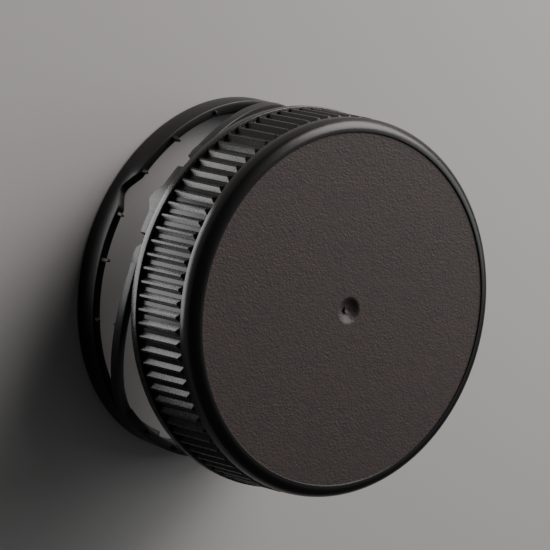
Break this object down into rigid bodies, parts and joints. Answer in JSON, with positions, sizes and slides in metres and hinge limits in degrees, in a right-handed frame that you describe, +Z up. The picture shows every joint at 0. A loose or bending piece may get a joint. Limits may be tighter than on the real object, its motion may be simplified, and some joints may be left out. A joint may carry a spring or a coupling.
{
  "type": "tamper-evident screw cap",
  "caption": "Round black screw cap with fine grip ribs, swung open on a hinge tab and two thin tether straps above its split tamper-evident band.",
  "frame": {"origin": "centre of the tamper-evident band's lower edge, on the band's own axis", "axes": "+Z runs up the band's axis towards the cap's closed top, which leans 10.8 degrees back from it; -Y points from the band's axis to the hinge tab; +X is to the right of someone who looks at the tab"},
  "size_m": [0.0404, 0.0427, 0.0264],
  "materials": {
    "closure": "black polyethylene, fine matt grain on the face, satin ribs, polished shoulder"
  },
  "bodies": {
    "root": {"closure": "closure"}
  },
  "joints": []
}
